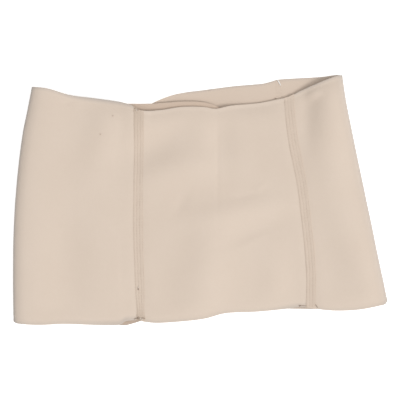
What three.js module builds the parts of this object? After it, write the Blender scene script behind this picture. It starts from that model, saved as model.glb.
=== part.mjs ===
// A maternity belly band laid flat: a wrap of soft beige bonded cloth in five panels, with two
// stitched seam tapes down its front. Its two rounded ends overlap in the lower layer.
// Millimetres, +Z up off the surface that it lies on, +X across, +Y towards the narrow upper rim.
import * as THREE from "three";
import { mergeVertices } from "three/addons/utils/BufferGeometryUtils.js";

// Driving dimensions
const wall = 2;
const seamGap = 0.4;
const layGap = 0.3;
const tape = { width: 10.5, thick: 0.8, gap: 0.5 };
const patch = { width: 60, height: 150, thick: 1, corner: 8, x: -20, y: -6 };

// Cells of the walls, counted along each stretch of the cloth and up it
const cells = {
  center: 28,
  leftFront: 18,
  rightFront: 12,
  fold: 12,
  leftUnder: 3,
  rightUnder: 7,
  flap: 16,
  tape: 2,
};
const rows = 16;

// Where the two folds stand from above, by share of the way up from the lower to the upper rim
const folds = [
  { up: 0.0, left: -189.7, right: 191.4 },
  { up: 0.2, left: -190.2, right: 181.6 },
  { up: 0.4, left: -189.4, right: 172.1 },
  { up: 0.6, left: -186.2, right: 162.3 },
  { up: 0.8, left: -180.3, right: 152.9 },
  { up: 0.9, left: -175.5, right: 148.5 },
  { up: 1.0, left: -171.0, right: 145.3 },
];

// Height of each fold's outermost line, and how far its upper and its lower quarter reach inwards
const leftFold = { bulge: 7, reach: 11, tuck: 8 };
const rightFold = { bulge: 5, reach: 4.5, tuck: 5 };

// Upper and lower rim of the front, by share of the way across from the left to the right fold
const frontTop = [
  { across: 0.0, y: 115.2 },
  { across: 0.05, y: 113.3 },
  { across: 0.12, y: 106.8 },
  { across: 0.2, y: 103.5 },
  { across: 0.285, y: 99.7 },
  { across: 0.32, y: 96.4 },
  { across: 0.35, y: 91.2 },
  { across: 0.41, y: 91.5 },
  { across: 0.48, y: 94.8 },
  { across: 0.55, y: 94.9 },
  { across: 0.593, y: 93.1 },
  { across: 0.64, y: 96.1 },
  { across: 0.735, y: 99.1 },
  { across: 0.8, y: 103.2 },
  { across: 0.83, y: 105.4 },
  { across: 0.865, y: 110.9 },
  { across: 0.93, y: 119.8 },
  { across: 0.98, y: 126.0 },
  { across: 1.0, y: 127.2 },
];
const frontBottom = [
  { across: 0.0, y: -124.0 },
  { across: 0.006, y: -125.3 },
  { across: 0.021, y: -126.1 },
  { across: 0.066, y: -127.0 },
  { across: 0.132, y: -126.0 },
  { across: 0.225, y: -127.2 },
  { across: 0.275, y: -127.3 },
  { across: 0.288, y: -126.2 },
  { across: 0.297, y: -123.6 },
  { across: 0.32, y: -122.5 },
  { across: 0.335, y: -122.4 },
  { across: 0.35, y: -123.9 },
  { across: 0.384, y: -125.1 },
  { across: 0.46, y: -123.2 },
  { across: 0.513, y: -120.6 },
  { across: 0.566, y: -115.3 },
  { across: 0.65, y: -113.7 },
  { across: 0.727, y: -111.0 },
  { across: 0.77, y: -109.0 },
  { across: 0.834, y: -111.9 },
  { across: 0.875, y: -112.6 },
  { across: 0.93, y: -111.3 },
  { across: 0.985, y: -107.2 },
  { across: 0.995, y: -106.0 },
  { across: 1.0, y: -103.3 },
];

// Rims of the lower layer, by distance in from its fold
const leftUnder = [
  { inward: 0, top: 115.2, bottom: -123.9 },
  { inward: 8, top: 112.4, bottom: -125.3 },
  { inward: 25, top: 106.1, bottom: -125.4 },
  { inward: 50, top: 100.5, bottom: -124.4 },
  { inward: 85, top: 98.0, bottom: -125.2 },
  { inward: 103, top: 98.0, bottom: -126.9 },
  { inward: 112, top: 98.0, bottom: -127.9 },
  { inward: 122, top: 98.3, bottom: -125.6 },
  { inward: 132, top: 99.0, bottom: -122.6 },
  { inward: 152, top: 100.5, bottom: -121.0 },
  { inward: 180, top: 100.2, bottom: -118.6 },
  { inward: 240, top: 99.6, bottom: -114.6 },
];
const rightUnder = [
  { inward: 0, top: 127.2, bottom: -103.3 },
  { inward: 4, top: 127.6, bottom: -104.9 },
  { inward: 8, top: 127.2, bottom: -106.1 },
  { inward: 20, top: 125.6, bottom: -109.1 },
  { inward: 45, top: 124.1, bottom: -110.9 },
  { inward: 65, top: 122.7, bottom: -111.2 },
  { inward: 71, top: 120.9, bottom: -111.3 },
  { inward: 80, top: 118.7, bottom: -111.3 },
  { inward: 110, top: 116.0, bottom: -111.0 },
  { inward: 152, top: 110.7, bottom: -112.0 },
  { inward: 260, top: 100.5, bottom: -113.0 },
];

// Rounded ends of the wrap, and the seams between the panels
const leftEnd = { tip: 49, corner: 53 };
const rightEnd = { tip: -109.8, corner: 100 };
const frontSeams = [
  { up: 0.0, left: 0.34, right: 0.796 },
  { up: 0.2, left: 0.346, right: 0.817 },
  { up: 0.45, left: 0.351, right: 0.8285 },
  { up: 0.6, left: 0.354, right: 0.8325 },
  { up: 0.8, left: 0.354, right: 0.828 },
  { up: 1.0, left: 0.343, right: 0.8295 },
];
const underSeams = [
  { up: 0, left: 19, right: 76 },
  { up: 1, left: 19, right: 64.5 },
];

// Height of the front's mid-surface at its lower rim, between its rims and at its upper rim
const crown = [
  { across: 0.0, lower: 12.5, middle: 14.0, upper: 12.5 },
  { across: 0.05, lower: 12.5, middle: 14.2, upper: 12.5 },
  { across: 0.12, lower: 11.5, middle: 14.0, upper: 11.3 },
  { across: 0.2, lower: 10.0, middle: 13.4, upper: 9.8 },
  { across: 0.285, lower: 8.4, middle: 12.6, upper: 8.8 },
  { across: 0.34, lower: 7.8, middle: 12.2, upper: 11.0 },
  { across: 0.39, lower: 7.9, middle: 12.1, upper: 8.9 },
  { across: 0.45, lower: 8.0, middle: 12.0, upper: 7.8 },
  { across: 0.6, lower: 7.8, middle: 11.8, upper: 7.3 },
  { across: 0.69, lower: 7.0, middle: 11.6, upper: 4.3 },
  { across: 0.76, lower: 6.2, middle: 11.6, upper: 3.7 },
  { across: 0.79, lower: 6.6, middle: 11.6, upper: 3.9 },
  { across: 0.83, lower: 7.9, middle: 11.6, upper: 4.3 },
  { across: 0.87, lower: 8.5, middle: 11.6, upper: 5.1 },
  { across: 0.9, lower: 8.9, middle: 11.6, upper: 6.8 },
  { across: 0.95, lower: 9.2, middle: 11.4, upper: 9.6 },
  { across: 1.0, lower: 9.2, middle: 10.8, upper: 10.2 },
];

// How far a rim draws the front down with it, and how far in from a rim the dents fade out
const rim = { reach: 50, flat: 10 };

// Dents and folds of the front: centre, half lengths, turn of the long way in degrees, and rise
const dents = [
  { name: "left hollow", x: -135, y: -65, long: 80, wide: 25, turn: 90, rise: -3 },
  { name: "left ridge", x: -95, y: 75, long: 40, wide: 20, turn: 75, rise: 4 },
  { name: "upper swell", x: -45, y: 85, long: 45, wide: 25, turn: -15, rise: 4 },
  { name: "upper hollow", x: -40, y: 58, long: 50, wide: 18, turn: 40, rise: -2.5 },
  { name: "middle swell", x: -25, y: 32, long: 50, wide: 18, turn: 10, rise: 4 },
  { name: "center crease", x: 22, y: 60, long: 35, wide: 14, turn: 90, rise: -2.5 },
  { name: "right upper swell", x: 50, y: 85, long: 60, wide: 25, turn: -20, rise: 4 },
  { name: "packing fold", x: 40, y: -10, long: 50, wide: 12, turn: 10, rise: 2.5 },
  { name: "lower ridge", x: 5, y: -75, long: 60, wide: 25, turn: 80, rise: 4 },
  { name: "lower hollow", x: 55, y: -33, long: 35, wide: 12, turn: 20, rise: -1.5 },
  { name: "tape swell", x: 75, y: -85, long: 30, wide: 15, turn: 80, rise: 1.5 },
  { name: "right valley", x: 111, y: 90, long: 40, wide: 11, turn: 85, rise: -2.5 },
  { name: "right ridge", x: 130, y: 80, long: 70, wide: 20, turn: 95, rise: 4 },
  { name: "right fold swell", x: 162, y: -65, long: 70, wide: 20, turn: 110, rise: 4 },
];

// How the left end climbs onto the right one: the step, the clear margin round the right end's edge
// and the run of the climb before it
const lapRise = wall + patch.thick + 2 * layGap;
const lap = { clear: 9, climb: 26 };

const clothColor = "#dcccbc";
const tapeColor = "#d2c1b0";
const patchColor = "#cdc1b4";

const { lerp, clamp, degToRad, smoothstep } = THREE.MathUtils;

// A smooth curve through a table's rows, from its key column to one of its other columns
function curve(table, key, value) {
  const last = table.length - 1;
  const slope = (i) => {
    const before = table[Math.max(i - 1, 0)];
    const after = table[Math.min(i + 1, last)];
    return (after[value] - before[value]) / (after[key] - before[key]);
  };
  return (at) => {
    const place = clamp(at, table[0][key], table[last][key]);
    const next = Math.max(1, table.findIndex((row) => row[key] >= place));
    const a = table[next - 1];
    const b = table[next];
    const span = b[key] - a[key];
    const t = (place - a[key]) / span;
    const bow = slope(next - 1) * (1 - t) - slope(next) * t;
    return lerp(a[value], b[value], t * t * (3 - 2 * t)) + span * t * (1 - t) * bow;
  };
}

const leftOutline = curve(folds, "up", "left");
const rightOutline = curve(folds, "up", "right");
const frontTopAt = curve(frontTop, "across", "y");
const frontBottomAt = curve(frontBottom, "across", "y");
const leftUnderTop = curve(leftUnder, "inward", "top");
const leftUnderBottom = curve(leftUnder, "inward", "bottom");
const rightUnderTop = curve(rightUnder, "inward", "top");
const rightUnderBottom = curve(rightUnder, "inward", "bottom");
const leftSeamAt = curve(frontSeams, "up", "left");
const rightSeamAt = curve(frontSeams, "up", "right");
const leftUnderSeam = curve(underSeams, "up", "left");
const rightUnderSeam = curve(underSeams, "up", "right");
const lowerRimAt = curve(crown, "across", "lower");
const middleAt = curve(crown, "across", "middle");
const upperRimAt = curve(crown, "across", "upper");

// Outermost lines of the wall's mid-surface
const leftLine = (up) => leftOutline(up) + wall / 2;
const rightLine = (up) => rightOutline(up) - wall / 2;

// A quarter of a fold followed by a flat run: how far in and how far through the turn it has come
function foldIn(run, reach) {
  const turn = Math.min(run / reach, Math.PI / 2);
  const flat = run - turn * reach;
  return { inward: reach * (1 - Math.cos(turn)) + flat, share: Math.sin(turn) };
}

// Run along the cloth from a fold's outermost line to a point past the turn
const runFor = (inward, reach) => inward - reach + (reach * Math.PI) / 2;

// Run of the front from the left to the right fold
function frontRun(up) {
  const width = rightLine(up) - leftLine(up);
  return runFor(width - rightFold.reach, leftFold.reach) + (rightFold.reach * Math.PI) / 2;
}

// Height of the front without its dents
function crownHeight(across, up) {
  const height = frontTopAt(across) - frontBottomAt(across);
  const middle = middleAt(across);
  const lower = (lowerRimAt(across) - middle) * Math.exp(-(((up * height) / rim.reach) ** 2));
  const upper = (upperRimAt(across) - middle) * Math.exp(-((((1 - up) * height) / rim.reach) ** 2));
  return middle + lower + upper;
}

// Rise that the dents give to the front, none at its rims
function dentRise(x, y, up) {
  const rise = dents.reduce((sum, dent) => {
    const turn = degToRad(dent.turn);
    const along = (x - dent.x) * Math.cos(turn) + (y - dent.y) * Math.sin(turn);
    const aside = (y - dent.y) * Math.cos(turn) - (x - dent.x) * Math.sin(turn);
    return sum + dent.rise * Math.exp(-((along / dent.long) ** 2) - (aside / dent.wide) ** 2);
  }, 0);
  const fromRim = Math.min(up, 1 - up) * flapHeight;
  return rise * (1 - Math.exp(-((fromRim / rim.flat) ** 2)));
}

// X of a rounded end at a share of the way up the flap, which reaches towards +X or -X
function endLine(end, up, height, towards) {
  const fromRim = Math.min(up, 1 - up) * height;
  const bow = Math.max(0, 1 - fromRim / end.corner);
  return end.tip - towards * end.corner * (1 - Math.sqrt(1 - bow * bow));
}

const flapHeight = rightUnderTop(rightUnder.at(-1).inward) - rightUnderBottom(rightUnder.at(-1).inward);
const leftEndLine = (up) => endLine(leftEnd, up, flapHeight, 1);
const rightEndLine = (up) => endLine(rightEnd, up, flapHeight, -1);

// Height of the left end above the surface, where it lies over the right end
function lapLift(x, y) {
  const low = rightUnderBottom(rightUnder.at(-1).inward) - lap.clear;
  const height = flapHeight + 2 * lap.clear;
  const edge = { tip: rightEnd.tip - lap.clear, corner: rightEnd.corner + lap.clear };
  const past = x - endLine(edge, clamp((y - low) / height, 0, 1), height, -1);
  return lapRise * smoothstep(past, -lap.climb, 0);
}

// Mid-surface of the cloth: run is counted from the left fold, positive over the front and on round
// the right fold into the lower layer, negative from the left fold into the lower layer
function bandPoint(run, up) {
  const left = leftLine(up);
  const right = rightLine(up);
  const front = frontRun(up);
  if (run < 0) {
    const fold = foldIn(-run, leftFold.tuck);
    const x = left + fold.inward;
    const y = lerp(leftUnderBottom(fold.inward), leftUnderTop(fold.inward), up);
    const floor = wall / 2 + lapLift(x, y);
    return new THREE.Vector3(x, y, lerp(leftFold.bulge, floor, fold.share));
  }
  if (run > front) {
    const fold = foldIn(run - front, rightFold.tuck);
    const x = right - fold.inward;
    const y = lerp(rightUnderBottom(fold.inward), rightUnderTop(fold.inward), up);
    return new THREE.Vector3(x, y, lerp(rightFold.bulge, wall / 2, fold.share));
  }
  const nearLeft = run < front / 2;
  const side = nearLeft ? leftFold : rightFold;
  const fold = foldIn(nearLeft ? run : front - run, side.reach);
  const x = nearLeft ? left + fold.inward : right - fold.inward;
  const across = (x - left) / (right - left);
  const y = lerp(frontBottomAt(across), frontTopAt(across), up);
  const top = crownHeight(across, up) + dentRise(x, y, up);
  return new THREE.Vector3(x, y, lerp(side.bulge, top, fold.share));
}

// Point at an offset from the mid-surface, along its outward normal
function offsetPoint(run, up, offset) {
  const step = 0.05;
  const rise = 0.0005;
  const low = Math.max(up - rise, 0);
  const high = Math.min(up + rise, 1);
  const along = bandPoint(run + step, up).sub(bandPoint(run - step, up));
  const upward = bandPoint(run, high).sub(bandPoint(run, low));
  const normal = along.cross(upward).normalize();
  return bandPoint(run, up).addScaledVector(normal, offset);
}

// A closed wall: a box of cells bent along stretches of the band, between two offsets from its
// mid-surface. Each stretch gives the run where it ends and its number of columns.
function bentWall({ from, stretches, inner = -wall / 2, outer = wall / 2, spread = (v) => v }) {
  const columns = stretches.reduce((sum, stretch) => sum + stretch.columns, 0);
  const runAt = (column, up) => {
    let start = from(up);
    let past = column;
    for (const stretch of stretches) {
      const end = stretch.to(up);
      if (past <= stretch.columns) {
        return lerp(start, end, past / stretch.columns);
      }
      past -= stretch.columns;
      start = end;
    }
    return start;
  };
  const box = new THREE.BoxGeometry(columns, 1, 1, columns, rows, 1);
  box.translate(columns / 2, 0.5, 0.5);
  box.deleteAttribute("normal");
  box.deleteAttribute("uv");
  const geometry = mergeVertices(box);
  const position = geometry.getAttribute("position");
  const cell = new THREE.Vector3();
  for (let i = 0; i < position.count; i++) {
    cell.fromBufferAttribute(position, i);
    const up = spread(cell.y);
    const point = offsetPoint(runAt(cell.x, up), up, lerp(inner, outer, cell.z));
    position.setXYZ(i, point.x, point.y, point.z);
  }
  geometry.computeVertexNormals();
  return geometry;
}

// Runs at which the panels meet
function seamRun(share, up) {
  const width = rightLine(up) - leftLine(up);
  return runFor(share * width, leftFold.reach);
}
const leftSeam = (up) => seamRun(leftSeamAt(up), up);
const rightSeam = (up) => seamRun(rightSeamAt(up), up);
const leftBackSeam = (up) => -runFor(leftUnderSeam(up), leftFold.tuck);
const rightBackSeam = (up) => frontRun(up) + runFor(rightUnderSeam(up), rightFold.tuck);
const leftTip = (up) => -runFor(leftEndLine(up) - leftLine(up), leftFold.tuck);
const rightTip = (up) => frontRun(up) + runFor(rightLine(up) - rightEndLine(up), rightFold.tuck);

// Rows of a rounded flap stand closer near its rims
const closerAtRims = (v) => (1 - Math.cos(Math.PI * v)) / 2;

function cloth(name, geometry, color = clothColor) {
  const material = new THREE.MeshStandardMaterial({ color, roughness: 0.9, metalness: 0 });
  const mesh = new THREE.Mesh(geometry, material);
  mesh.name = name;
  return mesh;
}

// Runs where a fold's upper and lower quarter turns end
const leftFoldTop = () => (leftFold.reach * Math.PI) / 2;
const leftFoldBottom = () => (-leftFold.tuck * Math.PI) / 2;
const rightFoldTop = (up) => frontRun(up) - (rightFold.reach * Math.PI) / 2;
const rightFoldBottom = (up) => frontRun(up) + (rightFold.tuck * Math.PI) / 2;

function panels() {
  const half = seamGap / 2;
  const center = bentWall({
    from: (up) => leftSeam(up) + half,
    stretches: [{ to: (up) => rightSeam(up) - half, columns: cells.center }],
  });
  const leftSide = bentWall({
    from: (up) => leftBackSeam(up) + half,
    stretches: [
      { to: leftFoldBottom, columns: cells.leftUnder },
      { to: leftFoldTop, columns: cells.fold },
      { to: (up) => leftSeam(up) - half, columns: cells.leftFront },
    ],
  });
  const rightSide = bentWall({
    from: (up) => rightSeam(up) + half,
    stretches: [
      { to: rightFoldTop, columns: cells.rightFront },
      { to: rightFoldBottom, columns: cells.fold },
      { to: (up) => rightBackSeam(up) - half, columns: cells.rightUnder },
    ],
  });
  return [
    cloth("center_panel", center),
    cloth("left_side_panel", leftSide),
    cloth("right_side_panel", rightSide),
  ];
}

function endFlaps() {
  const half = seamGap / 2;
  const left = bentWall({
    from: leftTip,
    stretches: [{ to: (up) => leftBackSeam(up) - half, columns: cells.flap }],
    spread: closerAtRims,
  });
  const right = bentWall({
    from: (up) => rightBackSeam(up) + half,
    stretches: [{ to: rightTip, columns: cells.flap }],
    spread: closerAtRims,
  });
  return [cloth("left_end_flap", left), cloth("right_end_flap", right)];
}

function seamTape(name, seam) {
  const inner = wall / 2 + tape.gap;
  const geometry = bentWall({
    from: (up) => seam(up) - tape.width / 2,
    stretches: [{ to: (up) => seam(up) + tape.width / 2, columns: cells.tape }],
    inner,
    outer: inner + tape.thick,
  });
  return cloth(name, geometry, tapeColor);
}

// Hook-and-loop patch that holds the two ends together, lying on the right end
function closurePatch() {
  const { width, height, corner } = patch;
  const outline = new THREE.Shape();
  outline.moveTo(-width / 2 + corner, -height / 2);
  outline.lineTo(width / 2 - corner, -height / 2);
  outline.absarc(width / 2 - corner, -height / 2 + corner, corner, -Math.PI / 2, 0);
  outline.absarc(width / 2 - corner, height / 2 - corner, corner, 0, Math.PI / 2);
  outline.absarc(-width / 2 + corner, height / 2 - corner, corner, Math.PI / 2, Math.PI);
  outline.absarc(-width / 2 + corner, -height / 2 + corner, corner, Math.PI, Math.PI * 1.5);
  const shape = { depth: patch.thick, bevelEnabled: false, curveSegments: 6 };
  const mesh = cloth("closure_patch", new THREE.ExtrudeGeometry(outline, shape), patchColor);
  mesh.position.set(patch.x, patch.y, wall + layGap);
  return mesh;
}

const bellyBand = new THREE.Group();
bellyBand.name = "maternity_belly_band";
bellyBand.add(...panels());
bellyBand.add(...endFlaps());
bellyBand.add(seamTape("left_seam_tape", leftSeam));
bellyBand.add(seamTape("right_seam_tape", rightSeam));
bellyBand.add(closurePatch());

export default bellyBand;
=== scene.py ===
# Maternity belly band laid flat, seen from straight above
import math

import bpy
import numpy as np
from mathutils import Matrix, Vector, noise


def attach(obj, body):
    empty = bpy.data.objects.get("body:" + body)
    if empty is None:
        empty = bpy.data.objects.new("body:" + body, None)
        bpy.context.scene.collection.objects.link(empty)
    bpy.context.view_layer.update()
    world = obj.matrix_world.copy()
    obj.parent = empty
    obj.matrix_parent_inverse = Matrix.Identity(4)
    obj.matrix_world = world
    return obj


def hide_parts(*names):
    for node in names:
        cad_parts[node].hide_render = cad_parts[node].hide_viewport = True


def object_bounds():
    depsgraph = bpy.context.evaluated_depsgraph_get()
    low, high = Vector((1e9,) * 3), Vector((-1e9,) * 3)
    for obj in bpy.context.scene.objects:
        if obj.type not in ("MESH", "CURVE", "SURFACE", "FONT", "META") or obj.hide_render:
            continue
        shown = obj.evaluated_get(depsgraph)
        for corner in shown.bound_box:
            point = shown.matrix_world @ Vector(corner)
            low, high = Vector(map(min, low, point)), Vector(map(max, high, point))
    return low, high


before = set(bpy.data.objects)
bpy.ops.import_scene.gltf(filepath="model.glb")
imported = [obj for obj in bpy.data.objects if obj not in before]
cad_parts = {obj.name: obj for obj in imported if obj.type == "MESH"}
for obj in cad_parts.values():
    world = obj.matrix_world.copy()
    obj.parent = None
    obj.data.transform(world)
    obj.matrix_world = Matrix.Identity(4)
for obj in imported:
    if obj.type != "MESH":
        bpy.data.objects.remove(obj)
cadLow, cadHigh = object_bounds()  # the CAD box, before anything is added
mm = 0.001
print("frame loaded:", ", ".join(sorted(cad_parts)))


# The cloth as it lies, in millimetres: folds at the left and right, rims at the top and bottom
cloth = dict(wall=2.0, seamGap=0.04, lapStep=3.6, lapClear=9.0, lapClimb=26.0)
leftFold = dict(bulge=7.0, reach=11.0, tuck=8.0)
rightFold = dict(bulge=5.0, reach=4.5, tuck=5.0)
leftEnd = dict(tip=49.0, corner=53.0)
rightEnd = dict(tip=-109.8, corner=100.0)
rims = dict(reach=50.0, flat=10.0)  # how far a free rim draws the front down, and how far it lies flat

foldLines = [  # by share of the way up
    dict(up=0.0, left=-189.7, right=191.4),
    dict(up=0.2, left=-190.2, right=181.6),
    dict(up=0.4, left=-189.4, right=172.1),
    dict(up=0.6, left=-186.2, right=162.3),
    dict(up=0.8, left=-180.3, right=152.9),
    dict(up=0.9, left=-175.5, right=148.5),
    dict(up=1.0, left=-171.0, right=145.3),
]
frontTop = [  # by share of the way across
    dict(across=0.0, y=115.2),
    dict(across=0.05, y=113.3),
    dict(across=0.12, y=106.8),
    dict(across=0.2, y=103.5),
    dict(across=0.285, y=99.7),
    dict(across=0.32, y=96.4),
    dict(across=0.35, y=91.2),
    dict(across=0.41, y=91.5),
    dict(across=0.48, y=94.8),
    dict(across=0.55, y=94.9),
    dict(across=0.593, y=93.1),
    dict(across=0.64, y=96.1),
    dict(across=0.735, y=99.1),
    dict(across=0.8, y=103.2),
    dict(across=0.83, y=105.4),
    dict(across=0.865, y=110.9),
    dict(across=0.93, y=119.8),
    dict(across=0.98, y=126.0),
    dict(across=1.0, y=127.2),
]
frontBottom = [
    dict(across=0.0, y=-124.0),
    dict(across=0.006, y=-125.3),
    dict(across=0.021, y=-126.1),
    dict(across=0.066, y=-127.0),
    dict(across=0.132, y=-126.0),
    dict(across=0.225, y=-127.2),
    dict(across=0.275, y=-127.3),
    dict(across=0.288, y=-126.2),
    dict(across=0.297, y=-123.6),
    dict(across=0.32, y=-122.5),
    dict(across=0.335, y=-122.4),
    dict(across=0.35, y=-123.9),
    dict(across=0.384, y=-125.1),
    dict(across=0.46, y=-123.2),
    dict(across=0.513, y=-120.6),
    dict(across=0.566, y=-115.3),
    dict(across=0.65, y=-113.7),
    dict(across=0.727, y=-111.0),
    dict(across=0.77, y=-109.0),
    dict(across=0.834, y=-111.9),
    dict(across=0.875, y=-112.6),
    dict(across=0.93, y=-111.3),
    dict(across=0.985, y=-107.2),
    dict(across=0.995, y=-106.0),
    dict(across=1.0, y=-103.3),
]
leftUnder = [  # lower layer, by distance in from the left fold
    dict(inward=0, top=115.2, bottom=-123.9),
    dict(inward=8, top=112.4, bottom=-125.3),
    dict(inward=25, top=106.1, bottom=-125.4),
    dict(inward=50, top=100.5, bottom=-124.4),
    dict(inward=85, top=98.0, bottom=-125.2),
    dict(inward=103, top=98.0, bottom=-126.9),
    dict(inward=112, top=98.0, bottom=-127.9),
    dict(inward=122, top=98.3, bottom=-125.6),
    dict(inward=132, top=99.0, bottom=-122.6),
    dict(inward=152, top=100.5, bottom=-121.0),
    dict(inward=180, top=100.2, bottom=-118.6),
    dict(inward=240, top=99.6, bottom=-114.6),
]
rightUnder = [  # lower layer, by distance in from the right fold
    dict(inward=0, top=127.2, bottom=-103.3),
    dict(inward=4, top=127.6, bottom=-104.9),
    dict(inward=8, top=127.2, bottom=-106.1),
    dict(inward=20, top=125.6, bottom=-109.1),
    dict(inward=45, top=124.1, bottom=-110.9),
    dict(inward=65, top=122.7, bottom=-111.2),
    dict(inward=71, top=120.9, bottom=-111.3),
    dict(inward=80, top=118.7, bottom=-111.3),
    dict(inward=110, top=116.0, bottom=-111.0),
    dict(inward=152, top=110.7, bottom=-112.0),
    dict(inward=260, top=100.5, bottom=-113.0),
]
frontSeams = [
    dict(up=0.0, left=0.34, right=0.796),
    dict(up=0.2, left=0.346, right=0.817),
    dict(up=0.45, left=0.351, right=0.8285),
    dict(up=0.6, left=0.354, right=0.8325),
    dict(up=0.8, left=0.354, right=0.828),
    dict(up=1.0, left=0.343, right=0.8295),
]
underSeams = [
    dict(up=0.0, left=19.0, right=76.0),
    dict(up=1.0, left=19.0, right=64.5),
]
crown = [  # height of the front at its two rims and between them
    dict(across=0.0, lower=12.5, middle=14.0, upper=12.5),
    dict(across=0.05, lower=12.5, middle=14.2, upper=12.5),
    dict(across=0.12, lower=11.5, middle=14.0, upper=11.3),
    dict(across=0.2, lower=10.0, middle=13.4, upper=9.8),
    dict(across=0.285, lower=8.4, middle=12.6, upper=8.8),
    dict(across=0.34, lower=7.8, middle=12.2, upper=11.0),
    dict(across=0.39, lower=7.9, middle=12.1, upper=8.9),
    dict(across=0.45, lower=8.0, middle=12.0, upper=7.8),
    dict(across=0.6, lower=7.8, middle=11.8, upper=7.3),
    dict(across=0.69, lower=7.0, middle=11.6, upper=4.3),
    dict(across=0.76, lower=6.2, middle=11.6, upper=3.7),
    dict(across=0.79, lower=6.6, middle=11.6, upper=3.9),
    dict(across=0.83, lower=7.9, middle=11.6, upper=4.3),
    dict(across=0.87, lower=8.5, middle=11.6, upper=5.1),
    dict(across=0.9, lower=8.9, middle=11.6, upper=6.8),
    dict(across=0.95, lower=9.2, middle=11.4, upper=9.6),
    dict(across=1.0, lower=9.2, middle=10.8, upper=10.2),
]
dents = [  # folds and hollows pressed into the front, long and wide are half lengths
    dict(name="left hollow", x=-135, y=-65, long=80, wide=25, turn=90, rise=-3.0),
    dict(name="left ridge", x=-95, y=75, long=40, wide=20, turn=75, rise=4.0),
    dict(name="upper swell", x=-45, y=85, long=45, wide=25, turn=-15, rise=4.0),
    dict(name="upper hollow", x=-40, y=58, long=50, wide=18, turn=40, rise=-2.5),
    dict(name="middle swell", x=-25, y=32, long=50, wide=18, turn=10, rise=4.0),
    dict(name="center crease", x=22, y=60, long=35, wide=14, turn=90, rise=-2.5),
    dict(name="right upper swell", x=50, y=85, long=60, wide=25, turn=-20, rise=4.0),
    dict(name="packing fold", x=40, y=-10, long=50, wide=12, turn=10, rise=2.5),
    dict(name="lower ridge", x=5, y=-75, long=60, wide=25, turn=80, rise=4.0),
    dict(name="lower hollow", x=55, y=-33, long=35, wide=12, turn=20, rise=-1.5),
    dict(name="tape swell", x=75, y=-85, long=30, wide=15, turn=80, rise=1.5),
    dict(name="right valley", x=111, y=90, long=40, wide=11, turn=85, rise=-2.5),
    dict(name="right ridge", x=130, y=80, long=70, wide=20, turn=95, rise=4.0),
    dict(name="right fold swell", x=162, y=-65, long=70, wide=20, turn=110, rise=4.0),
    dict(name="rim nick", x=-133, y=99.5, long=6, wide=2.5, turn=8, rise=-1.5),
    dict(name="packing crease", x=18, y=34, long=52, wide=2.4, turn=90, rise=-0.3),
    dict(name="packing wrinkle", x=46, y=4, long=18, wide=3.5, turn=12, rise=-0.45),
    dict(name="packing nub", x=61, y=13, long=7, wide=3, turn=30, rise=0.4),
    dict(name="center dimple", x=-19, y=-4, long=13, wide=6, turn=60, rise=-0.7),
    dict(name="lower wrinkle", x=52, y=-42, long=20, wide=5, turn=24, rise=0.6),
]
puckers = [  # small folds that run out into a rim
    dict(name="right rim pucker", x=116, y=108, long=8, wide=4.5, turn=25, rise=2.8),
]
seamDraw = dict(  # cloth pulled in by the stitching, with ripples that wander along the seam
    depth=0.6, width=7.0, pucker=0.1, pitch=8.5, fade=11.0, wander=2.2, wanderPitch=17.0,
)


def mix(a, b, share):
    return a + (b - a) * share


def easeIn(value, start, stop):
    share = np.clip((value - start) / (stop - start), 0, 1)
    return share * share * (3 - 2 * share)


def smoothCurve(rows, key, value):
    keys = np.array([row[key] for row in rows], float)
    values = np.array([row[value] for row in rows], float)
    before = np.maximum(np.arange(len(rows)) - 1, 0)
    after = np.minimum(np.arange(len(rows)) + 1, len(rows) - 1)
    slopes = (values[after] - values[before]) / (keys[after] - keys[before])

    def at(place):
        place = np.clip(place, keys[0], keys[-1])
        i = np.clip(np.searchsorted(keys, place) - 1, 0, len(rows) - 2)
        span = keys[i + 1] - keys[i]
        t = (place - keys[i]) / span
        bow = slopes[i] * (1 - t) - slopes[i + 1] * t
        return mix(values[i], values[i + 1], t * t * (3 - 2 * t)) + span * t * (1 - t) * bow

    return at


leftOutline = smoothCurve(foldLines, "up", "left")
rightOutline = smoothCurve(foldLines, "up", "right")
frontTopAt = smoothCurve(frontTop, "across", "y")
frontBottomAt = smoothCurve(frontBottom, "across", "y")
leftTopAt = smoothCurve(leftUnder, "inward", "top")
leftBottomAt = smoothCurve(leftUnder, "inward", "bottom")
rightTopAt = smoothCurve(rightUnder, "inward", "top")
rightBottomAt = smoothCurve(rightUnder, "inward", "bottom")
leftSeamAt = smoothCurve(frontSeams, "up", "left")
rightSeamAt = smoothCurve(frontSeams, "up", "right")
leftUnderSeamAt = smoothCurve(underSeams, "up", "left")
rightUnderSeamAt = smoothCurve(underSeams, "up", "right")
lowerAt = smoothCurve(crown, "across", "lower")
middleAt = smoothCurve(crown, "across", "middle")
upperAt = smoothCurve(crown, "across", "upper")


def leftLine(up):
    return leftOutline(up) + cloth["wall"] / 2


def rightLine(up):
    return rightOutline(up) - cloth["wall"] / 2


def foldIn(run, reach):  # a quarter turn of a fold, then flat
    turn = np.minimum(run / reach, math.pi / 2)
    return reach * (1 - np.cos(turn)) + run - turn * reach, np.sin(turn)


def runFor(inward, reach):
    return inward - reach + reach * math.pi / 2


def frontRun(up):
    width = rightLine(up) - leftLine(up)
    return runFor(width - rightFold["reach"], leftFold["reach"]) + rightFold["reach"] * math.pi / 2


def seamRun(share, up):
    return runFor(share * (rightLine(up) - leftLine(up)), leftFold["reach"])


def leftSeam(up):
    return seamRun(leftSeamAt(up), up)


def rightSeam(up):
    return seamRun(rightSeamAt(up), up)


def leftBackSeam(up):
    return -runFor(leftUnderSeamAt(up), leftFold["tuck"])


def rightBackSeam(up):
    return frontRun(up) + runFor(rightUnderSeamAt(up), rightFold["tuck"])


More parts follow.
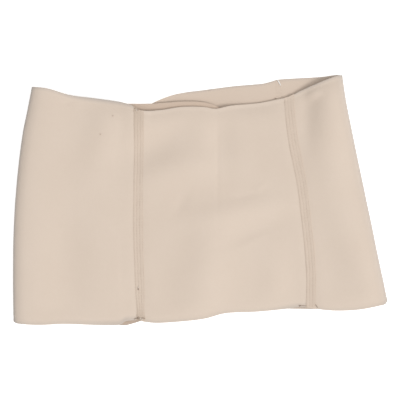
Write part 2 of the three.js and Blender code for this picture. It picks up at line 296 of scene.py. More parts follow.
def endLine(end, up, height, towards):  # rounded end of a flap
    bow = np.maximum(0, 1 - np.minimum(up, 1 - up) * height / end["corner"])
    return end["tip"] - towards * end["corner"] * (1 - np.sqrt(1 - bow * bow))


flapFar = rightUnder[-1]
flapHeight = flapFar["top"] - flapFar["bottom"]


def leftTip(up):
    return -runFor(endLine(leftEnd, up, flapHeight, 1) - leftLine(up), leftFold["tuck"])


def rightTip(up):
    return frontRun(up) + runFor(rightLine(up) - endLine(rightEnd, up, flapHeight, -1), rightFold["tuck"])


def lapLift(x, y):  # the left end climbs onto the right one
    clear = cloth["lapClear"]
    height = flapHeight + 2 * clear
    edge = dict(tip=rightEnd["tip"] - clear, corner=rightEnd["corner"] + clear)
    past = x - endLine(edge, np.clip((y - flapFar["bottom"] + clear) / height, 0, 1), height, -1)
    return cloth["lapStep"] * easeIn(past, -cloth["lapClimb"], 0)


def crownHeight(across, up):
    height = frontTopAt(across) - frontBottomAt(across)
    atLower = np.exp(-((up * height / rims["reach"]) ** 2))
    atUpper = np.exp(-(((1 - up) * height / rims["reach"]) ** 2))
    middle = middleAt(across)
    return middle + (lowerAt(across) - middle) * atLower + (upperAt(across) - middle) * atUpper


def riseOf(rows, x, y):
    rise = np.zeros_like(x)
    for dent in rows:
        turn = math.radians(dent["turn"])
        along = (x - dent["x"]) * math.cos(turn) + (y - dent["y"]) * math.sin(turn)
        aside = (y - dent["y"]) * math.cos(turn) - (x - dent["x"]) * math.sin(turn)
        rise += dent["rise"] * np.exp(-((along / dent["long"]) ** 2) - (aside / dent["wide"]) ** 2)
    return rise


def dentRise(x, y, up, run):
    fade = 1 - np.exp(-((np.minimum(up, 1 - up) * flapHeight / rims["flat"]) ** 2))
    rise = riseOf(dents, x, y) * fade + riseOf(puckers, x, y)
    for seam in (leftSeam(up), rightSeam(up)):
        off = np.abs(run - seam)
        rise -= seamDraw["depth"] * np.exp(-(off / seamDraw["width"]) ** 2)
        wander = seamDraw["wander"] * np.sin(y / seamDraw["wanderPitch"])
        ripple = np.sin(y * 2 * math.pi / seamDraw["pitch"] + wander)
        rise += seamDraw["pucker"] * ripple * np.exp(-off / seamDraw["fade"])
    return rise


def bandPoint(run, up):  # middle of the cloth, run is counted from the left fold
    left, right, front = leftLine(up), rightLine(up), frontRun(up)
    half = cloth["wall"] / 2

    inward, share = foldIn(np.maximum(-run, 0), leftFold["tuck"])
    x = left + inward
    y = mix(leftBottomAt(inward), leftTopAt(inward), up)
    underLeft = (x, y, mix(leftFold["bulge"], half + lapLift(x, y), share))

    inward, share = foldIn(np.maximum(run - front, 0), rightFold["tuck"])
    x = right - inward
    y = mix(rightBottomAt(inward), rightTopAt(inward), up)
    underRight = (x, y, mix(rightFold["bulge"], half, share))

    nearLeft = run < front / 2
    inLeft, shareLeft = foldIn(np.clip(run, 0, front), leftFold["reach"])
    inRight, shareRight = foldIn(np.clip(front - run, 0, front), rightFold["reach"])
    x = np.where(nearLeft, left + inLeft, right - inRight)
    across = (x - left) / (right - left)
    y = mix(frontBottomAt(across), frontTopAt(across), up)
    bulge = np.where(nearLeft, leftFold["bulge"], rightFold["bulge"])
    share = np.where(nearLeft, shareLeft, shareRight)
    onFront = (x, y, mix(bulge, crownHeight(across, up) + dentRise(x, y, up, run), share))

    picked = [
        np.where(run < 0, a, np.where(run > front, b, c))
        for a, b, c in zip(underLeft, underRight, onFront)
    ]
    return np.stack(picked, axis=-1)


def unit(vectors):
    return vectors / np.maximum(np.linalg.norm(vectors, axis=-1, keepdims=True), 1e-9)


def clothFrame(run, up):  # place, direction across, direction up and outward normal
    step, rise = 0.05, 0.0005
    low, high = np.maximum(up - rise, 0), np.minimum(up + rise, 1)
    across = unit(bandPoint(run + step, up) - bandPoint(run - step, up))
    upward = unit(bandPoint(run, high) - bandPoint(run, low))
    return bandPoint(run, up), across, upward, unit(np.cross(across, upward))


# Small tools for working on a piece
def deselectAll():
    if bpy.context.object and bpy.context.object.mode != "OBJECT":
        bpy.ops.object.mode_set(mode="OBJECT")
    bpy.ops.object.select_all(action="DESELECT")


def pick(piece):
    deselectAll()
    piece.select_set(True)
    bpy.context.view_layer.objects.active = piece


def finishWith(piece, kind, **settings):
    pick(piece)
    modifier = piece.modifiers.new(kind.title(), kind)
    for name, value in settings.items():
        setattr(modifier, name, value)
    bpy.ops.object.modifier_apply(modifier=modifier.name)


def readPoints(piece):
    flat = np.empty(len(piece.data.vertices) * 3)
    piece.data.vertices.foreach_get("co", flat)
    return flat.reshape(-1, 3)


def movePoints(piece, points):
    piece.data.vertices.foreach_set("co", (points * mm).ravel())
    piece.data.update()


def addGrid(name, columns, rows):  # a flat grid, with the share across and up of each vertex
    deselectAll()
    bpy.ops.mesh.primitive_grid_add(x_subdivisions=columns, y_subdivisions=rows, size=1)
    sheet = bpy.context.object
    sheet.name = sheet.data.name = name
    shares = np.clip(readPoints(sheet) + 0.5, 0, 1)
    return sheet, shares[:, 0], shares[:, 1]


def layMap(piece, across, upward):  # UV map in metres along the cloth
    corner = np.empty(len(piece.data.loops), dtype=np.int64)
    piece.data.loops.foreach_get("vertex_index", corner)
    layer = piece.data.uv_layers.active
    layer.name = "weave"
    layer.data.foreach_set("uv", np.stack([across, upward], axis=-1)[corner].ravel() * mm)


def markPoints(piece, name, values):
    field = piece.data.attributes.new(name, "FLOAT", "POINT")
    field.data.foreach_set("value", np.asarray(values, dtype=np.float32))


def smoothShade(piece, degrees=40):
    pick(piece)
    bpy.ops.object.shade_smooth_by_angle(angle=math.radians(degrees))


def standFor(piece, node=None):
    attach(piece, "root")
    if node:
        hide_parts(node)


# Panels and wrap ends, each cut flat and laid along the band
edgeCut = dict(
    round=0.8, segments=4, hemLine=4.2, hemDepth=0.4, hemWidth=0.9, crowding=0.5, near=1e-6,
    tipFrom=25.0, lowerFrom=80.0,  # a flap's corners stay square: up its tip, and along its lower rim
)
rimWearAndShade = dict(wide=9.0, under=0.8, lap=0.1, line=2.6)  # paler lint where the rims wear, and a painted shade line on the lower layer
# painted shade along the left and right folds, with a wider haze at the left
paintedFoldShade = dict(width=5.2, left=1.3, right=0.8, haze=0.2, hazeWidth=18.0)
rimLines = [  # painted shade: a darker line along the front's rims, how dark and how wide
    dict(across=0.0, upper=0.9, upperWide=2.8, lower=0.8, lowerWide=2.6),
    dict(across=0.08, upper=0.9, upperWide=2.8, lower=0.6, lowerWide=3.0),
    dict(across=0.2, upper=1.5, upperWide=4.5, lower=0.7, lowerWide=5.0),
    dict(across=0.29, upper=1.5, upperWide=4.0, lower=1.2, lowerWide=5.5),
    dict(across=0.36, upper=0.5, upperWide=2.6, lower=0.8, lowerWide=3.5),
    dict(across=0.55, upper=0.2, upperWide=2.6, lower=0.6, lowerWide=2.6),
    dict(across=0.66, upper=0.0, upperWide=2.6, lower=0.6, lowerWide=2.6),
    dict(across=0.77, upper=0.0, upperWide=2.6, lower=1.1, lowerWide=4.5),
    dict(across=0.84, upper=0.6, upperWide=2.6, lower=0.6, lowerWide=2.6),
    dict(across=0.92, upper=1.0, upperWide=2.6, lower=0.6, lowerWide=2.6),
    dict(across=1.0, upper=0.9, upperWide=2.6, lower=0.6, lowerWide=2.6),
]
waviness = dict(height=0.2, size=34.0, fineHeight=0.04, fineSize=9.0, shift=(17.3, 5.1, 9.7))
halfSeam = cloth["seamGap"] / 2
panels = dict(
    center_panel=dict(
        start=lambda up: leftSeam(up) + halfSeam, stop=lambda up: rightSeam(up) - halfSeam,
        columns=150, rows=130, flat=(0.178, 0.224), area=0.0365, held="laid", seed=1,
    ),
    left_side_panel=dict(
        start=lambda up: leftBackSeam(up) + halfSeam, stop=lambda up: leftSeam(up) - halfSeam,
        columns=100, rows=130, flat=(0.156, 0.244), area=0.0353, held="folded", seed=2,
    ),
    right_side_panel=dict(
        start=lambda up: rightSeam(up) + halfSeam, stop=lambda up: rightBackSeam(up) - halfSeam,
        columns=90, rows=130, flat=(0.154, 0.241), area=0.0338, held="folded", seed=3,
    ),
    left_end_flap=dict(
        start=leftTip, stop=lambda up: leftBackSeam(up) - halfSeam,
        columns=100, rows=112, flat=(0.220, 0.237), area=0.0473, held="laid", seed=4,
        inner=2.8,  # how much deeper the painted shade on its inner face is
    ),
    right_end_flap=dict(
        start=lambda up: rightBackSeam(up) + halfSeam, stop=rightTip,
        columns=100, rows=112, flat=(0.224, 0.237), area=0.0423, held="laid", seed=5,
    ),
)


def waves(points, seed):
    shift = Vector([seed * step for step in waviness["shift"]])
    coarse = [noise.noise(Vector(p) / waviness["size"] + shift) for p in points]
    fine = [noise.noise(Vector(p) / waviness["fineSize"] - shift) for p in points]
    return np.array(coarse) * waviness["height"] + np.array(fine) * waviness["fineHeight"]


upperLineAt = smoothCurve(rimLines, "across", "upper")
upperWideAt = smoothCurve(rimLines, "across", "upperWide")
lowerLineAt = smoothCurve(rimLines, "across", "lower")
lowerWideAt = smoothCurve(rimLines, "across", "lowerWide")


def rimLine(node, place, run, up, toEdge):  # 1 where the painted rim shade is darkest
    left, right = leftLine(up), rightLine(up)
    across = (place[:, 0] - left) / (right - left)
    isUpper = up > 0.5
    dark = np.where(isUpper, upperLineAt(across), lowerLineAt(across))
    wide = np.where(isUpper, upperWideAt(across), lowerWideAt(across))
    below = (run < 0) | (run > frontRun(up))
    isLap = isUpper & (node == "left_end_flap")
    dark[below] = np.where(isLap, rimWearAndShade["lap"], rimWearAndShade["under"])[below]
    wide[below] = rimWearAndShade["line"]
    return dark * np.clip(1 - toEdge / wide, 0, 1)


# painted shade where the cloth turns over the side folds
def foldShade(run, up):
    atLeft = paintedFoldShade["left"] * np.exp(-((run / paintedFoldShade["width"]) ** 2))
    atRight = paintedFoldShade["right"] * np.exp(-(((run - frontRun(up)) / paintedFoldShade["width"]) ** 2))
    haze = paintedFoldShade["haze"] * np.exp(-((run / paintedFoldShade["hazeWidth"]) ** 2))
    return atLeft + atRight + haze


def roundRims(sheet, free, skin):  # the free rims are rounded, the sewn sides are left square
    mesh = sheet.data
    ends = np.empty(len(mesh.edges) * 2, dtype=np.int64)
    mesh.edges.foreach_get("vertices", ends)
    first, second = ends.reshape(-1, 2).T
    chosen = free[first] & free[second] & (skin[first] == skin[second])
    pick(sheet)
    bpy.context.tool_settings.mesh_select_mode = (False, True, False)
    for part in (mesh.vertices, mesh.polygons):
        part.foreach_set("select", np.zeros(len(part), dtype=bool))
    mesh.edges.foreach_set("select", chosen)
    bpy.ops.object.mode_set(mode="EDIT")
    bpy.ops.mesh.bevel(offset=edgeCut["round"] * mm, segments=edgeCut["segments"], material=1)
    bpy.ops.object.mode_set(mode="OBJECT")


def cutPanel(node, settings):
    sheet, across, share = addGrid(node + "_cloth", settings["columns"], settings["rows"])
    isFlap = node.endswith("flap")
    crowding = edgeCut["crowding"] if isFlap else 0  # closer rows at a flap's corners
    up = mix(share, (1 - np.cos(math.pi * share)) / 2, crowding)
    run = mix(settings["start"](up), settings["stop"](up), across)
    place, _, _, normal = clothFrame(run, up)
    toEdge = np.minimum(up, 1 - up) * flapHeight
    relief = waves(place, settings["seed"])
    relief -= edgeCut["hemDepth"] * np.exp(-(((toEdge - edgeCut["hemLine"]) / edgeCut["hemWidth"]) ** 2))
    relief[(run < 0) | (run > frontRun(up))] = 0  # the lower layer is pressed flat
    movePoints(sheet, place + normal * relief[:, None])
    layMap(sheet, run, place[:, 1])
    markPoints(sheet, "rim", np.clip(1 - toEdge / rimWearAndShade["wide"], 0, 1))
    markPoints(sheet, "line", rimLine(node, place, run, up, toEdge))
    markPoints(sheet, "fold", foldShade(run, up))
    finishWith(
        sheet, "SOLIDIFY", thickness=cloth["wall"] * mm, offset=0.0, use_rim=True, material_offset_rim=1
    )
    skin = np.ones(len(sheet.data.vertices))
    skin[len(run):] = -settings.get("inner", 1.0)
    markPoints(sheet, "skin", skin)  # above 0 on the outer face, below 0 on the inner one
    near = edgeCut["near"]
    free = (up < near) | (up > 1 - near)
    if isFlap:
        isRight = node.startswith("right")
        fromTip = np.abs(run - settings["stop" if isRight else "start"](up))
        free &= (up > 0.5) | (fromTip > edgeCut["lowerFrom"])
        tip = across > 1 - near if isRight else across < near
        free |= tip & (toEdge > edgeCut["tipFrom"])
    roundRims(sheet, np.tile(free, 2), skin)
    smoothShade(sheet)
    standFor(sheet, node)
    return sheet


sheets = {node: cutPanel(node, settings) for node, settings in panels.items()}
print("panels cut:", {name: len(piece.data.polygons) for name, piece in sheets.items()})


# Seam tapes down the front, with a groove for each row of stitching
tape = dict(
    width=10.5, thick=dict(left=0.3, right=0.45), slope=1.7, columns=42, rows=150,
    grooves=(-4.4, -1.5, 1.5, 4.4), dip=0.15, dipWidth=0.5, backing=0.5,
    ripple=0.05, rippleRate=520, rippleSlant=1.3,
)
tapePinches = dict(left=[dict(up=0.055, width=0.06, share=0.2)], right=[])
tapeShades = dict(  # painted shade at the tape's ends, lean is how much darker the tape's left edge is than its middle
    left=[dict(up=1.0, width=0.13, share=0.27, lean=0.4), dict(up=0.0, width=0.05, share=0.4, lean=0.3)],
    right=[],
)


def tapeHalf(side, up):
    half = np.full_like(up, tape["width"] / 2)
    for pinch in tapePinches[side]:
        half -= half * pinch["share"] * np.exp(-(((up - pinch["up"]) / pinch["width"]) ** 2))
    return half


def tapeHeight(side, off, half, up):  # off and half are counted from the tape's middle
    edge = np.clip((half - np.abs(off)) / tape["slope"], 0, 1)
    height = tape["thick"][side] * np.sqrt(1 - (1 - edge) ** 2)
    for groove in tape["grooves"]:
        at = groove * half / (tape["width"] / 2)
        height = height - tape["dip"] * np.exp(-(((off - at) / tape["dipWidth"]) ** 2))
    return height + tape["ripple"] * np.sin(up * tape["rippleRate"] + off * tape["rippleSlant"])


def tapeShade(side, off, half, up):
    shade = np.zeros_like(up)
    for row in tapeShades[side]:
        lean = 1 - row["lean"] * off / half
        shade += row["share"] * lean * np.exp(-(((up - row["up"]) / row["width"]) ** 2))
    return shade


def layTape(side, seam):
    piece, across, up = addGrid(side + "_seam_tape_cloth", tape["columns"], tape["rows"])
    half = tapeHalf(side, up)
    off = (across - 0.5) * 2 * half
    place, _, _, normal = clothFrame(seam(up) + off, up)
    movePoints(piece, place + normal * (cloth["wall"] / 2 + tapeHeight(side, off, half, up))[:, None])
    layMap(piece, off, place[:, 1])
    markPoints(piece, "paintedShade", tapeShade(side, off, half, up))
    finishWith(piece, "SOLIDIFY", thickness=tape["backing"] * mm, offset=-1.0, use_rim=True)
    smoothShade(piece, degrees=60)
    standFor(piece, side + "_seam_tape")
    return piece


tapes = dict(left=layTape("left", leftSeam), right=layTape("right", rightSeam))
print("seam tapes laid")


# Stitches: one short thread is modelled, then repeated along each row
stitch = dict(
    length=2.3, thick=0.4, pitch=2.9, segments=6, rings=6, sink=0.1, bow=0.14, blunt=0.7, stagger=0.23,
)
underStitch = dict(rows=(-2.2, 2.2), stagger=0.4, sink=0.05)


def modelStitch():
    deselectAll()
    bpy.ops.mesh.primitive_uv_sphere_add(segments=stitch["segments"], ring_count=stitch["rings"], radius=0.5)
    bead = bpy.context.object
    aside, above, along = readPoints(bead).T
    along = np.sign(along) * np.abs(2 * along) ** stitch["blunt"] / 2 * stitch["length"]  # blunter ends
    dip = stitch["bow"] * (2 * along / stitch["length"]) ** 2  # ends dip into the cloth
    shape = np.stack([along, aside * stitch["thick"], above * stitch["thick"] - dip], axis=1)
    faces = [tuple(face.vertices) for face in bead.data.polygons]
    bpy.data.objects.remove(bead, do_unlink=True)
    return shape, faces


stitchShape, stitchFaces = modelStitch()


def meshPiece(name, points, faces):
    mesh = bpy.data.meshes.new(name)
    mesh.from_pydata((points * mm).tolist(), [], faces)
    piece = bpy.data.objects.new(name, mesh)
    bpy.context.scene.collection.objects.link(piece)
    smoothShade(piece, degrees=80)
    standFor(piece)
    return piece


def sewRows(name, places, forwards, normals):
    forward = unit(forwards - normals * (forwards * normals).sum(axis=1, keepdims=True))
    side = np.cross(normals, forward)
    points = (
        places[:, None]
        + stitchShape[None, :, 0:1] * forward[:, None]
        + stitchShape[None, :, 1:2] * side[:, None]
        + stitchShape[None, :, 2:3] * normals[:, None]
    )
    size = len(stitchShape)
    faces = [tuple(i + n * size for i in face) for n in range(len(places)) for face in stitchFaces]
    return meshPiece(name, points.reshape(-1, 3), faces)


stitchCount = int(flapHeight / stitch["pitch"])


def tapeStitches(side, seam):
    places, forwards, normals = [], [], []
    for row, groove in enumerate(tape["grooves"]):
        up = (np.arange(stitchCount) + 0.5 + stitch["stagger"] * row) / (stitchCount + 1)
        half = tapeHalf(side, up)
        off = groove * half / (tape["width"] / 2)
        place, _, upward, normal = clothFrame(seam(up) + off, up)
        height = cloth["wall"] / 2 + tapeHeight(side, off, half, up) + stitch["sink"]
        places.append(place + normal * height[:, None])
        forwards.append(upward)
        normals.append(normal)
    return sewRows(side + "_tape_stitches", *map(np.concatenate, (places, forwards, normals)))


def underStitches(name, seam):  # flat seam of the lower layer, seen from inside
    places, forwards, normals = [], [], []
    for row, off in enumerate(underStitch["rows"]):
        up = (np.arange(stitchCount) + 0.5 + underStitch["stagger"] * row) / (stitchCount + 1)
        place, _, upward, normal = clothFrame(seam(up) + off, up)
        places.append(place - normal * (cloth["wall"] / 2 + underStitch["sink"]))
        forwards.append(upward)
        normals.append(-normal)
    return sewRows(name, *map(np.concatenate, (places, forwards, normals)))


stitches = [
    tapeStitches("left", leftSeam),
    tapeStitches("right", rightSeam),
    underStitches("left_under_stitches", leftBackSeam),
    underStitches("right_under_stitches", rightBackSeam),
]
print("stitch rows sewn:", {piece.name: len(piece.data.polygons) for piece in stitches})


# Thread ends and knots, each by its distance off a seam and in from a rim
seamLines = dict(left=leftSeam, right=rightSeam, rightBack=rightBackSeam)
threadEnd = dict(points=7, lift=0.3, arch=0.5, taper=4, least=0.05)  # lift and arch by its thickness
looseThreads = [
    # the dark ends are coloured dark partly as painted shade for the small holes where the stitching ends
    dict(tone="dark", seam="left", rim="lower", off=-5.6, inset=1.6, length=3.4, turn=70, thick=0.7),
    dict(tone="dark", seam="left", rim="lower", off=-3.2, inset=2.6, length=3.0, turn=40, thick=0.8),
    dict(tone="dark", seam="left", rim="lower", off=-2.4, inset=1.0, length=2.6, turn=100, thick=0.8),
    dict(tone="dark", seam="left", rim="lower", off=2.6, inset=3.4, length=4.4, turn=84, thick=0.6),
    dict(tone="dark", seam="left", rim="lower", off=-1.6, inset=32.0, length=1.7, turn=10, thick=0.9),
    dict(tone="dark", seam="left", rim="upper", off=-3.6, inset=1.4, length=2.2, turn=30, thick=0.7),
    dict(tone="dark", seam="left", rim="upper", off=-0.6, inset=0.9, length=2.4, turn=75, thick=0.6),
    dict(tone="dark", seam="right", rim="lower", off=-11.0, inset=1.3, length=2.2, turn=70, thick=1.1),
    dict(tone="dark", seam="right", rim="lower", off=-6.4, inset=1.5, length=8.6, turn=90, thick=0.45),
    dict(tone="dark", seam="right", rim="lower", off=6.0, inset=3.0, length=5.0, turn=-38, thick=0.5),
    dict(tone="dark", seam="rightBack", rim="upper", off=4.0, inset=16.3, length=2.6, turn=60, thick=0.6),
    dict(tone="pale", seam="left", rim="lower", off=-0.8, inset=2.0, length=2.4, turn=20, thick=0.9),
    dict(tone="pale", seam="left", rim="lower", off=1.2, inset=1.9, length=2.0, turn=-25, thick=0.9),
    dict(tone="pale", seam="left", rim="lower", off=-1.4, inset=34.2, length=1.6, turn=15, thick=0.8),
    dict(tone="pale", seam="left", rim="upper", off=-2.0, inset=2.2, length=2.4, turn=15, thick=0.8),
    dict(tone="white", seam="rightBack", rim="upper", off=-0.8, inset=2.6, length=7.4, turn=27, thick=0.9),
    dict(tone="dull", seam="left", rim="upper", off=-26.0, inset=14.5, length=1.1, turn=0, thick=0.9),
    dict(tone="dull", seam="left", rim="upper", off=-38.5, inset=33.0, length=1.0, turn=50, thick=0.8),
]


def layThread(row):  # points along the middle of one thread end, and their radius
    inset = row["inset"] / flapHeight
    along = np.linspace(-0.5, 0.5, threadEnd["points"]) * row["length"]
    turn = math.radians(row["turn"])
    up = inset if row["rim"] == "lower" else 1 - inset
    up = np.clip(up + np.cos(turn) * along / flapHeight, 0, 1)
    run = seamLines[row["seam"]](up) + row["off"] + np.sin(turn) * along
    place, _, _, normal = clothFrame(run, up)
    onTape = row["seam"] != "rightBack" and abs(row["off"]) < tape["width"] / 2
    under = tape["thick"][row["seam"]] if onTape else 0
    lift = cloth["wall"] / 2 + under + row["thick"] * threadEnd["lift"]
    arch = row["thick"] * threadEnd["arch"] * np.cos(along / row["length"] * math.pi)
    facing = -1 if row["seam"] == "rightBack" else 1  # the back seam is seen from inside
    taper = 1 - (2 * along / row["length"]) ** threadEnd["taper"]
    radius = row["thick"] / 2 * np.sqrt(np.maximum(taper, threadEnd["least"]))
    return place + normal * (facing * (lift + arch))[:, None], radius


def sweepThreads(name, rows, sides=6):
    points, faces = [], []
    turns = np.arange(sides) / sides * 2 * math.pi
    for row in rows:
        middle, radius = layThread(row)
        forward = unit(np.gradient(middle, axis=0))
        side = unit(np.cross(forward, (0, 0, 1)))
        top = np.cross(side, forward)
        ring = side[:, None] * np.cos(turns)[None, :, None] + top[:, None] * np.sin(turns)[None, :, None]
        first = sum(map(len, points))
        points.append((middle[:, None] + ring * radius[:, None, None]).reshape(-1, 3))
        for i in range(len(middle) - 1):
            near, far = first + i * sides, first + (i + 1) * sides
            for j in range(sides):
                k = (j + 1) % sides
                faces.append((near + j, near + k, far + k, far + j))
        last = first + (len(middle) - 1) * sides
        faces.append(tuple(first + j for j in reversed(range(sides))))
        faces.append(tuple(last + j for j in range(sides)))
    return meshPiece(name, np.concatenate(points), faces)


threads = {}
for tone in ("dark", "pale", "white", "dull"):
    rows = [row for row in looseThreads if row["tone"] == tone]
    threads[tone] = sweepThreads(tone + "_thread_ends", rows)
print("thread ends laid:", len(looseThreads))


# Shader values: a socket that can be used in sums
class Wire:
    def __init__(self, tree, socket=None):
        self.tree = tree
        self.socket = socket

    def node(self, kind, settings=None, inputs=None, out=0):
        made = self.tree.nodes.new(kind)
        for name, value in (settings or {}).items():
            setattr(made, name, value)
        for key, value in (inputs or {}).items():
            if isinstance(value, Wire):
                self.tree.links.new(value.socket, made.inputs[key])
            else:
                made.inputs[key].default_value = value
        return Wire(self.tree, made.outputs[out])

    def sum(self, operation, first, second=0.0):
        return self.node("ShaderNodeMath", dict(operation=operation), {0: first, 1: second})

    def __add__(self, other):
        return self.sum("ADD", self, other)

    __radd__ = __add__

    def __sub__(self, other):
        return self.sum("SUBTRACT", self, other)

    def __rsub__(self, other):
        return self.sum("SUBTRACT", other, self)

    def __mul__(self, other):
        return self.sum("MULTIPLY", self, other)

    def __truediv__(self, other):
        return self.sum("DIVIDE", self, other)


def tint(factor, first, second):  # from one colour to another
    a = first if isinstance(first, Wire) else (*first, 1)
    inputs = {"Factor": factor, "A": a, "B": (*second, 1)}
    return factor.node("ShaderNodeMix", dict(data_type="RGBA"), inputs, out="Result")


def within(value):
    return value.sum("MINIMUM", value.sum("MAXIMUM", value, 0.0), 1.0)


def speckle(wire, scale, detail=2.0):
    spot = wire.node("ShaderNodeTexCoord", out="Object")
    return wire.node("ShaderNodeTexNoise", None, {"Vector": spot, "Scale": scale, "Detail": detail})


def marked(wire, name):  # values that were marked on the points
    return wire.node("ShaderNodeAttribute", dict(attribute_name=name), out="Fac")


def alongCloth(wire):
    weave = wire.node("ShaderNodeUVMap", dict(uv_map="weave"))
    return [wire.node("ShaderNodeSeparateXYZ", None, {0: weave}, out=i) for i in (0, 1)]


def newMaterial(name, **constants):
    material = bpy.data.materials.new(name)
    material.use_nodes = True
    shader = material.node_tree.nodes["Principled BSDF"]
    for socket, value in constants.items():
        shader.inputs[socket.replace("_", " ")].default_value = value
    return material, shader, Wire(material.node_tree)


def feed(shader, colour, roughness, height, depth, strength=0.7):
    bump = height.node("ShaderNodeBump", None, {"Height": height, "Strength": strength, "Distance": depth})
    for socket, wire in (("Base Color", colour), ("Roughness", roughness), ("Normal", bump)):
        wire.tree.links.new(wire.socket, shader.inputs[socket])


clothLook = dict(
    deep=(0.593, 0.487, 0.398), pale=(0.665, 0.562, 0.474), worn=(0.692, 0.598, 0.515),
    paintedShade=(0.420, 0.378, 0.344), line=0.55, innerShade=(0.560, 0.440, 0.350), inside=0.32,
    wale=0.0009, course=0.0011, lean=1.1, loop=0.35, bump=0.00006,
    cloudScale=22.0, cloud=0.5, lintScale=420.0, lint=0.25, knit=0.18, wear=0.3, middle=0.55,
    rough=0.86, lintRough=0.12, knitRough=0.05, lintBump=0.5,
)


def clothMaterial(look):
    material, shader, wire = newMaterial(
        "beige bonded cloth", Sheen_Weight=0.06, Sheen_Roughness=0.5, Specular_IOR_Level=0.2
    )
    across, upward = alongCloth(wire)
    side = wire.sum("ABSOLUTE", wire.sum("FRACT", across / look["wale"]) - 0.5)  # 0 in a wale's middle
    leg = wire.sum("SINE", side * (2 * math.pi))
    loop = wire.sum("SINE", (upward / look["course"] + side * look["lean"]) * (2 * math.pi))
    knit = leg * (1 - look["loop"] + loop * look["loop"])
    cloudy = speckle(wire, look["cloudScale"], detail=3.0) - 0.5
    lint = speckle(wire, look["lintScale"])
    fluff = lint - 0.5  # above and below the mean
    shade = within(look["middle"] + cloudy * look["cloud"] + fluff * look["lint"] + knit * look["knit"])
    worn = marked(wire, "rim") * lint * look["wear"]
    colour = tint(worn, tint(shade, look["deep"], look["pale"]), look["worn"])
    inner = within((0 - marked(wire, "skin")) * look["inside"])
    colour = tint(inner, colour, look["innerShade"])  # painted shade: the inner face, inside the band, is painted a shade deeper
    # painted shade: the rim lines and side folds tint the cloth toward a grey-brown
    paintedShade = within(marked(wire, "line") * look["line"] + marked(wire, "fold"))
    colour = tint(paintedShade, colour, look["paintedShade"])
    roughness = look["rough"] + fluff * look["lintRough"] - knit * look["knitRough"]
    feed(shader, colour, roughness, knit + fluff * look["lintBump"], look["bump"])
    return material


edgeLook = dict(
    core=(0.600, 0.515, 0.430), face=(0.600, 0.500, 0.412), shaded=(0.400, 0.350, 0.310),
    lineGain=1.5, fibreScale=900.0, knitFace=1.2, fibre=0.8, rough=0.85, fibreRough=0.12, bump=0.0002,
)


def cutEdgeMaterial(look):
    material, shader, wire = newMaterial("cut cloth edge", Sheen_Weight=0.1, Specular_IOR_Level=0.2)
    fibres = speckle(wire, look["fibreScale"], detail=3.0)
    skin = wire.sum("ABSOLUTE", marked(wire, "skin"))
    shade = within(skin * look["knitFace"] + (fibres - 0.5) * look["fibre"])  # paler foam between the faces
    # painted shade: the rim line tints the cut edge toward the shaded colour
    line = within(marked(wire, "line") * look["lineGain"])
    colour = tint(line, tint(shade, look["core"], look["face"]), look["shaded"])
    feed(shader, colour, look["rough"] + fibres * look["fibreRough"], fibres, look["bump"])
    return material


tapeLook = dict(
    deep=(0.576, 0.468, 0.379), pale=(0.664, 0.553, 0.461), paintedShade=(0.420, 0.330, 0.250),
    pitch=0.0009, slant=0.0015, zigzag=0.6, lintScale=500.0, lint=0.5, thread=0.2, middle=0.6,
    rough=0.84, lintRough=0.15, bump=0.00008,
)


def tapeMaterial(look):
    material, shader, wire = newMaterial("seam tape", Sheen_Weight=0.1, Specular_IOR_Level=0.2)
    across, upward = alongCloth(wire)
    zigzag = wire.sum("PINGPONG", across, look["slant"])
    thread = wire.sum("SINE", (upward + zigzag * look["zigzag"]) * (2 * math.pi / look["pitch"]))
    lint = speckle(wire, look["lintScale"])
    fluff = lint - 0.5
    shade = within(look["middle"] + thread * look["thread"] + fluff * look["lint"])
    # painted shade at the tape's ends and along its left edge
    paintedShade = within(marked(wire, "paintedShade"))
    colour = tint(paintedShade, tint(shade, look["deep"], look["pale"]), look["paintedShade"])
    feed(shader, colour, look["rough"] + fluff * look["lintRough"], thread + lint, look["bump"])
    return material


plyLook = dict(scale=900.0, twist=1.5, rough=0.55, plyRough=0.2, bump=0.00008)


def threadMaterial(name, dark, light, look=plyLook):
    material, shader, wire = newMaterial(name, Sheen_Weight=0.2, Specular_IOR_Level=0.3)
    spot = wire.node("ShaderNodeTexCoord", out="Object")
    bands = {"Vector": spot, "Scale": look["scale"], "Distortion": look["twist"]}
    ply = wire.node("ShaderNodeTexWave", dict(bands_direction="DIAGONAL"), bands, out="Fac")
    feed(shader, tint(ply, dark, light), look["rough"] + ply * look["plyRough"], ply, look["bump"])
    return material


hookLook = dict(
    tips=(0.60, 0.50, 0.41), gaps=(0.44, 0.36, 0.29), scale=900.0, uneven=0.35,
    rough=0.6, gapRough=0.3, bump=0.0003, strength=0.9,
)


def hookMaterial(look):
    material, shader, wire = newMaterial("hook and loop", Sheen_Weight=0.2, Specular_IOR_Level=0.3)
    spot = wire.node("ShaderNodeTexCoord", out="Object")
    cells = {"Vector": spot, "Scale": look["scale"], "Randomness": look["uneven"]}
    hooks = wire.node("ShaderNodeTexVoronoi", None, cells, out="Distance")
    colour = tint(hooks, look["tips"], look["gaps"])
    roughness = look["rough"] + hooks * look["gapRough"]
    feed(shader, colour, roughness, 1 - hooks, look["bump"], look["strength"])
    return material


def dress(piece, *materials):
    piece.data.materials.clear()
    for material in materials:
        piece.data.materials.append(material)


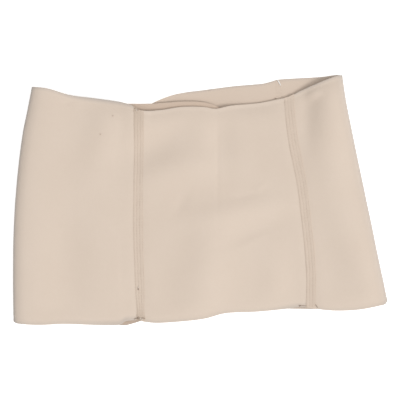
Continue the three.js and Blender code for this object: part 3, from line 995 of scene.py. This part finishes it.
bondedCloth = clothMaterial(clothLook)
cutEdge = cutEdgeMaterial(edgeLook)
tapeCloth = tapeMaterial(tapeLook)
sewingThread = threadMaterial("sewing thread", (0.540, 0.434, 0.348), (0.640, 0.530, 0.437))
# the dark tone is partly painted shade for the holes at the seam ends
toneColours = dict(
    dark=((0.24, 0.17, 0.125), (0.38, 0.28, 0.21)), pale=((0.62, 0.54, 0.46), (0.74, 0.67, 0.60)),
    white=((0.84, 0.83, 0.81), (0.95, 0.94, 0.92)), dull=((0.49, 0.40, 0.32), (0.57, 0.47, 0.39)),
)
for piece in sheets.values():
    dress(piece, bondedCloth, cutEdge)
for piece in tapes.values():
    dress(piece, tapeCloth)
for piece in stitches:
    dress(piece, sewingThread)
for tone, piece in threads.items():
    dress(piece, threadMaterial(tone + " thread", *toneColours[tone]))
dress(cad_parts["closure_patch"], hookMaterial(hookLook))
print("materials made")


# Floor, light and camera
stage = dict(floor=14.0, floorColour=(0.95, 0.95, 0.95), floorGlow=0.45, world=0.66)
lights = [
    dict(name="key", place=(7.8, -3.5, 9.0), size=4.5, power=748.0),
    dict(name="overhead", place=(0.1, 0.0, 2.6), size=2.0, power=10.0),
]
view = dict(x=0.00025, height=2.5, focus=0.012, width=0.4064, sensor=36.0)


def plainFloor():
    deselectAll()
    bpy.ops.mesh.primitive_plane_add(size=stage["floor"], location=(0, 0, cadLow.z))
    floor = bpy.context.object
    floor.name = "floor"
    colour = (*stage["floorColour"], 1)
    material, _, _ = newMaterial(
        "pale floor", Base_Color=colour, Roughness=0.95, Specular_IOR_Level=0.1,
        Emission_Color=colour, Emission_Strength=stage["floorGlow"],
    )
    dress(floor, material)


def hangLight(settings):
    deselectAll()
    bpy.ops.object.light_add(type="AREA", location=settings["place"])
    lamp = bpy.context.object
    lamp.name = settings["name"]
    lamp.data.shape = "SQUARE"
    lamp.data.size = settings["size"]
    lamp.data.energy = settings["power"]
    lamp.rotation_euler = (-Vector(settings["place"])).to_track_quat("-Z", "Y").to_euler()


def hangCamera():
    deselectAll()
    bpy.ops.object.camera_add(location=(view["x"], 0, view["height"]), rotation=(0, 0, 0))
    camera = bpy.context.object
    camera.name = "overhead camera"
    camera.data.sensor_width = view["sensor"]
    camera.data.lens = view["sensor"] * (view["height"] - view["focus"]) / view["width"]
    bpy.context.scene.camera = camera


def lightWorld():
    world = bpy.data.worlds.new("studio")
    world.use_nodes = True
    background = world.node_tree.nodes["Background"]
    background.inputs["Color"].default_value = (1, 1, 1, 1)
    background.inputs["Strength"].default_value = stage["world"]
    bpy.context.scene.world = world
    bpy.context.scene.view_settings.view_transform = "Standard"


plainFloor()
for settings in lights:
    hangLight(settings)
hangCamera()
lightWorld()
print("stage set")

bpy.context.view_layer.update()
